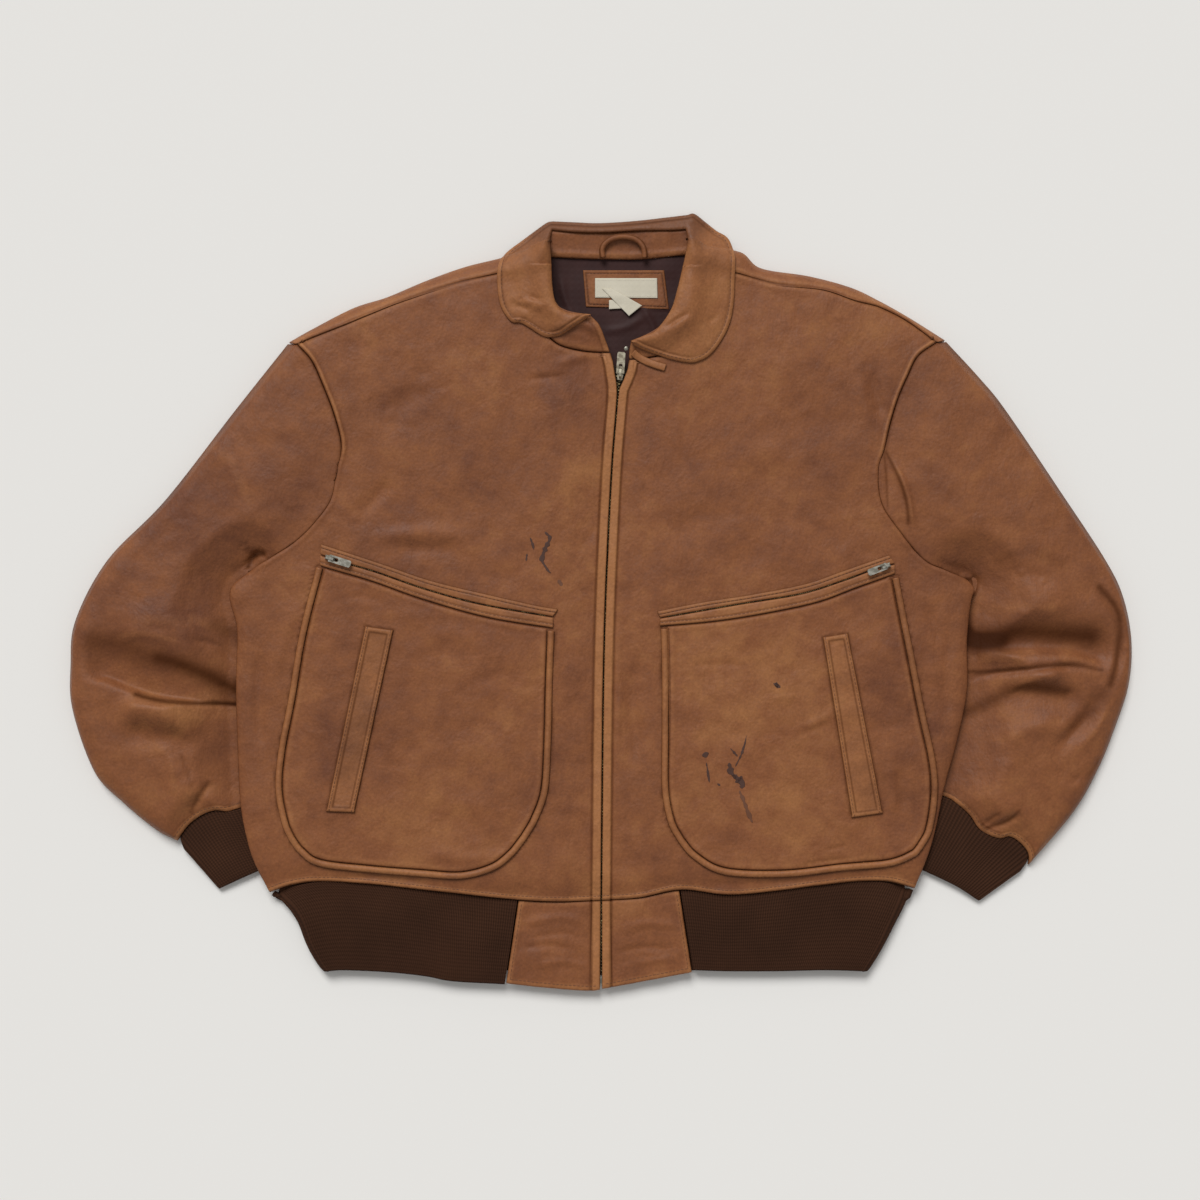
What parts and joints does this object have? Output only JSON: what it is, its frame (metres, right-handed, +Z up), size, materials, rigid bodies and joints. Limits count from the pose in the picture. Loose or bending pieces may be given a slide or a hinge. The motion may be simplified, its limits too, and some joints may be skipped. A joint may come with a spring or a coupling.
{
  "type": "leather jacket",
  "caption": "Worn brown leather blouson laid flat on its back, zipped, with knitted cuffs and hem, a turned-down collar and large patch pockets.",
  "frame": {"origin": "middle of the footprint on the floor the jacket lies on", "axes": "+X toward the wearer's left sleeve, +Y from hem to collar, +Z up, away from the floor"},
  "size_m": [0.9538, 0.6954, 0.032],
  "materials": {
    "back": "worn aniline leather",
    "care_tag": "woven label cloth",
    "care_tag_end": "woven label cloth",
    "collar": "worn tan leather",
    "cuff_left": "ribbed knit",
    "cuff_right": "ribbed knit",
    "front_left": "worn aniline leather",
    "front_right": "worn aniline leather",
    "hand_welt_left": "worn tan leather",
    "hand_welt_right": "worn tan leather",
    "hanger_loop": "worn aniline leather",
    "hem_rib": "ribbed knit",
    "hem_tab_left": "worn aniline leather",
    "hem_tab_right": "worn aniline leather",
    "label": "woven label cloth",
    "label_patch": "worn aniline leather",
    "lining_back": "smooth woven lining",
    "pocket_left": "worn aniline leather",
    "pocket_piping_left": "worn tan leather",
    "pocket_piping_right": "worn tan leather",
    "pocket_pull_left": "antique brass, worn",
    "pocket_pull_right": "antique brass, worn",
    "pocket_right": "worn aniline leather",
    "pocket_slider_left": "antique brass, worn",
    "pocket_slider_right": "antique brass, worn",
    "pocket_welt_lower_left": "worn tan leather",
    "pocket_welt_lower_right": "worn tan leather",
    "pocket_welt_upper_left": "worn tan leather",
    "pocket_welt_upper_right": "worn tan leather",
    "sleeve_left_top": "worn aniline leather",
    "sleeve_left_under": "worn aniline leather",
    "sleeve_right_top": "worn aniline leather",
    "sleeve_right_under": "worn aniline leather",
    "stand_back": "worn aniline leather",
    "stand_left": "worn aniline leather",
    "stand_right": "worn aniline leather",
    "throat_strip": "worn tan leather",
    "yoke_left": "worn aniline leather",
    "yoke_right": "worn aniline leather",
    "zip_box": "antique brass, worn",
    "zip_pull": "antique brass, worn",
    "zip_slider": "antique brass, worn",
    "zip_tape": "smooth woven lining"
  },
  "bodies": {
    "jacket": {"back": "back", "care_tag": "care_tag", "care_tag_end": "care_tag_end", "collar": "collar", "cuff_left": "cuff_left", "cuff_right": "cuff_right", "front_left": "front_left", "front_right": "front_right", "hand_welt_left": "hand_welt_left", "hand_welt_right": "hand_welt_right", "hanger_loop": "hanger_loop", "hem_rib": "hem_rib", "hem_tab_left": "hem_tab_left", "hem_tab_right": "hem_tab_right", "label": "label", "label_patch": "label_patch", "lining_back": "lining_back", "pocket_left": "pocket_left", "pocket_piping_left": "pocket_piping_left", "pocket_piping_right": "pocket_piping_right", "pocket_right": "pocket_right", "pocket_slider_left": "pocket_slider_left", "pocket_slider_right": "pocket_slider_right", "pocket_welt_lower_left": "pocket_welt_lower_left", "pocket_welt_lower_right": "pocket_welt_lower_right", "pocket_welt_upper_left": "pocket_welt_upper_left", "pocket_welt_upper_right": "pocket_welt_upper_right", "sleeve_left_top": "sleeve_left_top", "sleeve_left_under": "sleeve_left_under", "sleeve_right_top": "sleeve_right_top", "sleeve_right_under": "sleeve_right_under", "stand_back": "stand_back", "stand_left": "stand_left", "stand_right": "stand_right", "throat_strip": "throat_strip", "yoke_left": "yoke_left", "yoke_right": "yoke_right", "zip_box": "zip_box", "zip_slider": "zip_slider", "zip_tape": "zip_tape"},
    "main_zip_pull": {"zip_pull": "zip_pull"},
    "right_pocket_pull": {"pocket_pull_right": "pocket_pull_right"},
    "left_pocket_pull": {"pocket_pull_left": "pocket_pull_left"}
  },
  "joints": [
    {"name": "main_zip_pull_hinge", "type": "hinge", "parent": "jacket", "child": "main_zip_pull", "pos_m": [0.01721, 0.20406, 0.01778], "axis": [0.998, -0.0633, 0], "range_deg": [0, 150]},
    {"name": "right_pocket_pull_hinge", "type": "hinge", "parent": "jacket", "child": "right_pocket_pull", "pos_m": [-0.24088, 0.03879, 0.02539], "axis": [-0.3016, -0.9534, 0], "range_deg": [0, 150]},
    {"name": "left_pocket_pull_hinge", "type": "hinge", "parent": "jacket", "child": "left_pocket_pull", "pos_m": [0.25307, 0.03165, 0.02545], "axis": [-0.3671, 0.9302, 0], "range_deg": [0, 150]}
  ]
}
